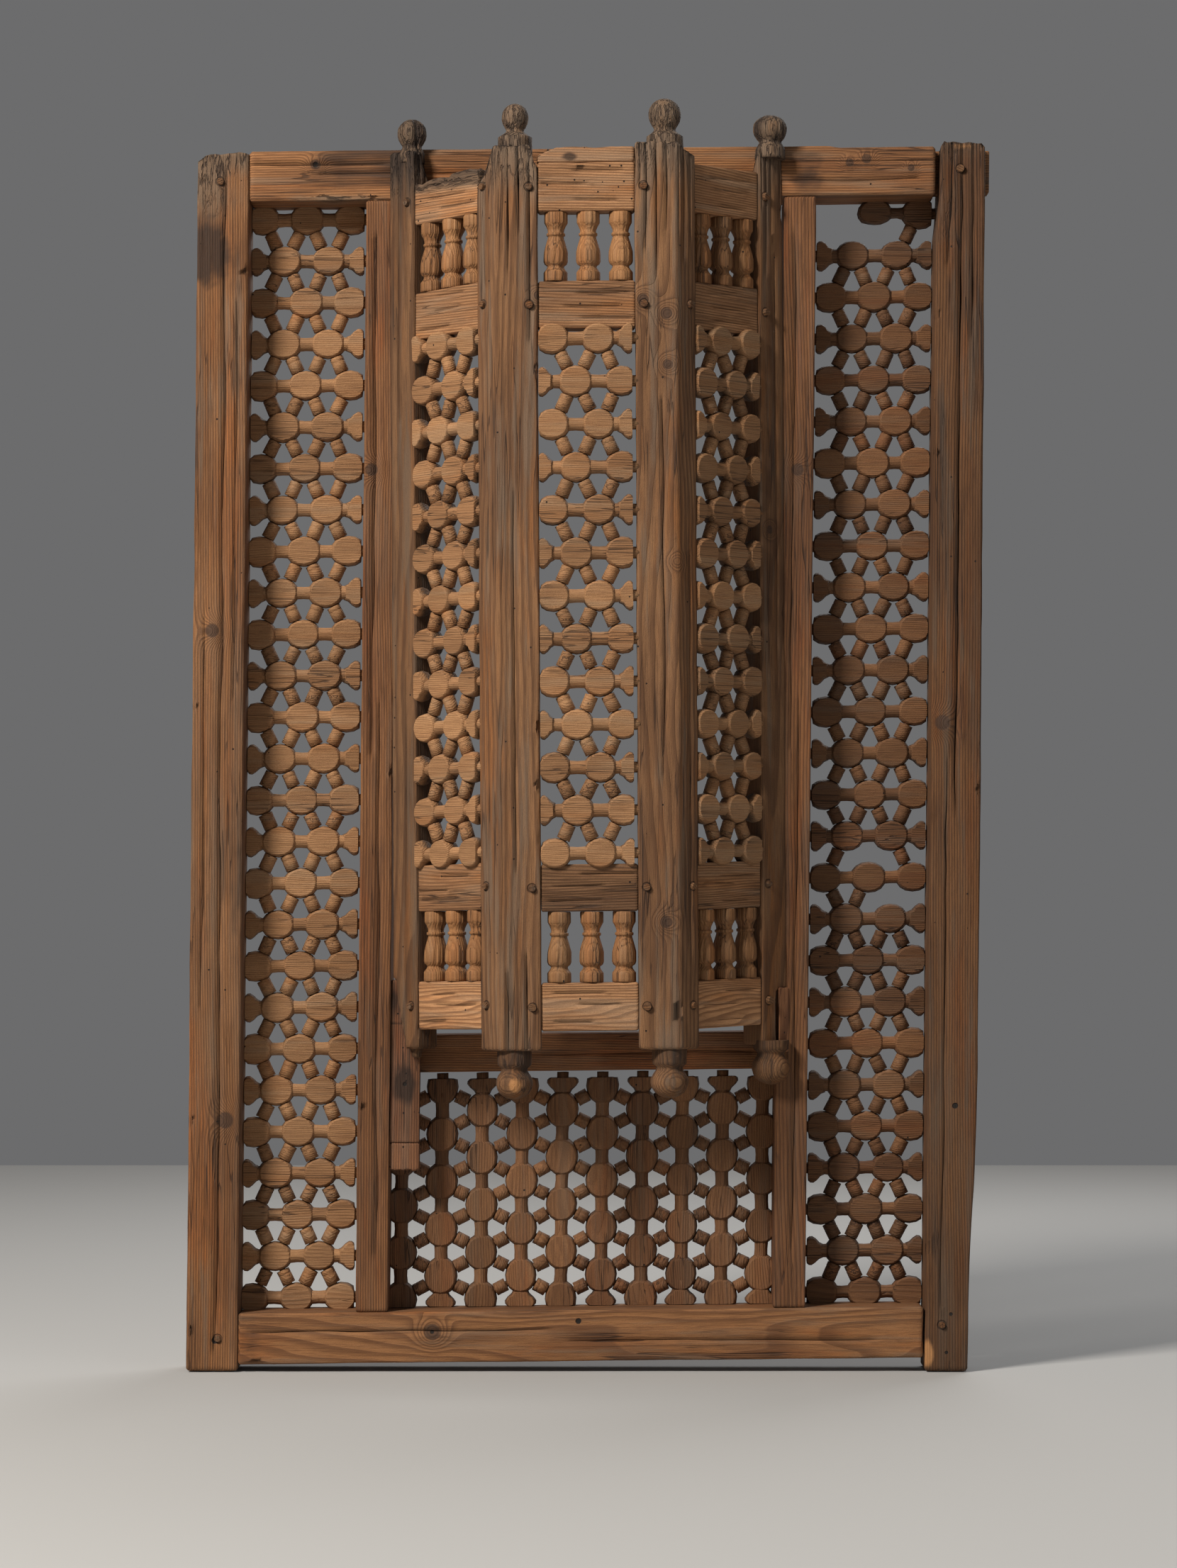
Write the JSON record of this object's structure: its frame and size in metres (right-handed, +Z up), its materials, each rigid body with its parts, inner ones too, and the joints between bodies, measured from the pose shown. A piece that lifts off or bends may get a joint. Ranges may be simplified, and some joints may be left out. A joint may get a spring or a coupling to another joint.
{
  "type": "mashrabiya window screen",
  "caption": "Old wooden window screen: a frame with lattices of turned beads and a three-sided projecting bay with turned posts and balusters.",
  "frame": {"origin": "middle of the bottom rail's back face, where the screen bears on the wall", "axes": "+Z up along the stiles, +Y out of the back face into the wall, front and bay towards -Y, +X to the right seen from the front"},
  "size_m": [1.0509, 0.226, 1.6396],
  "materials": {
    "stile": "weathered bare pine with open grain, grey streaks and a dark scorched patch",
    "rail": "weathered bare pine, warm brown with reddish and black stains",
    "inner": "aged pine in the shade of the bay, dull brown",
    "post": "weathered bare pine with deep drying cracks and grey, crumbling heads",
    "bay_rail": "aged pine, planed faces with beetle holes",
    "bead": "turned beads of dry light wood, end grain and lathe marks showing",
    "dark_bead": "turned beads of darkened wood",
    "baluster": "turned honey-coloured wood, slightly smoother than the beads",
    "block": "rough sawn packing wood with beetle holes"
  },
  "bodies": {
    "root": {"baluster_front_lower_1": "baluster", "baluster_front_lower_2": "baluster", "baluster_front_lower_3": "baluster", "baluster_front_upper_1": "baluster", "baluster_front_upper_2": "baluster", "baluster_front_upper_3": "baluster", "baluster_left_lower_1": "baluster", "baluster_left_lower_2": "baluster", "baluster_left_lower_3": "baluster", "baluster_left_upper_1": "baluster", "baluster_left_upper_2": "baluster", "baluster_left_upper_3": "baluster", "baluster_right_lower_1": "baluster", "baluster_right_lower_2": "baluster", "baluster_right_lower_3": "baluster", "baluster_right_upper_1": "baluster", "baluster_right_upper_2": "baluster", "baluster_right_upper_3": "baluster", "bay_front_cap_strip": "bay_rail", "bay_front_foot_rail": "bay_rail", "bay_front_head_rail": "bay_rail", "bay_front_lattice": "bead", "bay_front_lower_rail": "bay_rail", "bay_front_upper_rail": "bay_rail", "bay_left_foot_rail": "bay_rail", "bay_left_head_rail": "bay_rail", "bay_left_lattice": "bead", "bay_left_lower_rail": "bay_rail", "bay_left_upper_rail": "bay_rail", "bay_post_1": "post", "bay_post_2": "post", "bay_post_3": "post", "bay_post_4": "post", "bay_right_foot_rail": "bay_rail", "bay_right_head_rail": "bay_rail", "bay_right_lattice": "bead", "bay_right_lower_rail": "bay_rail", "bay_right_upper_rail": "bay_rail", "bottom_rail": "rail", "left_inner_stile": "inner", "left_lattice": "bead", "left_outer_stile": "stile", "left_packing_block": "block", "left_packing_cleat": "block", "lower_lattice": "dark_bead", "middle_rail": "inner", "right_inner_stile": "inner", "right_lattice": "dark_bead", "right_outer_stile": "stile", "right_post_patch": "block", "top_rail": "rail"}
  },
  "joints": []
}
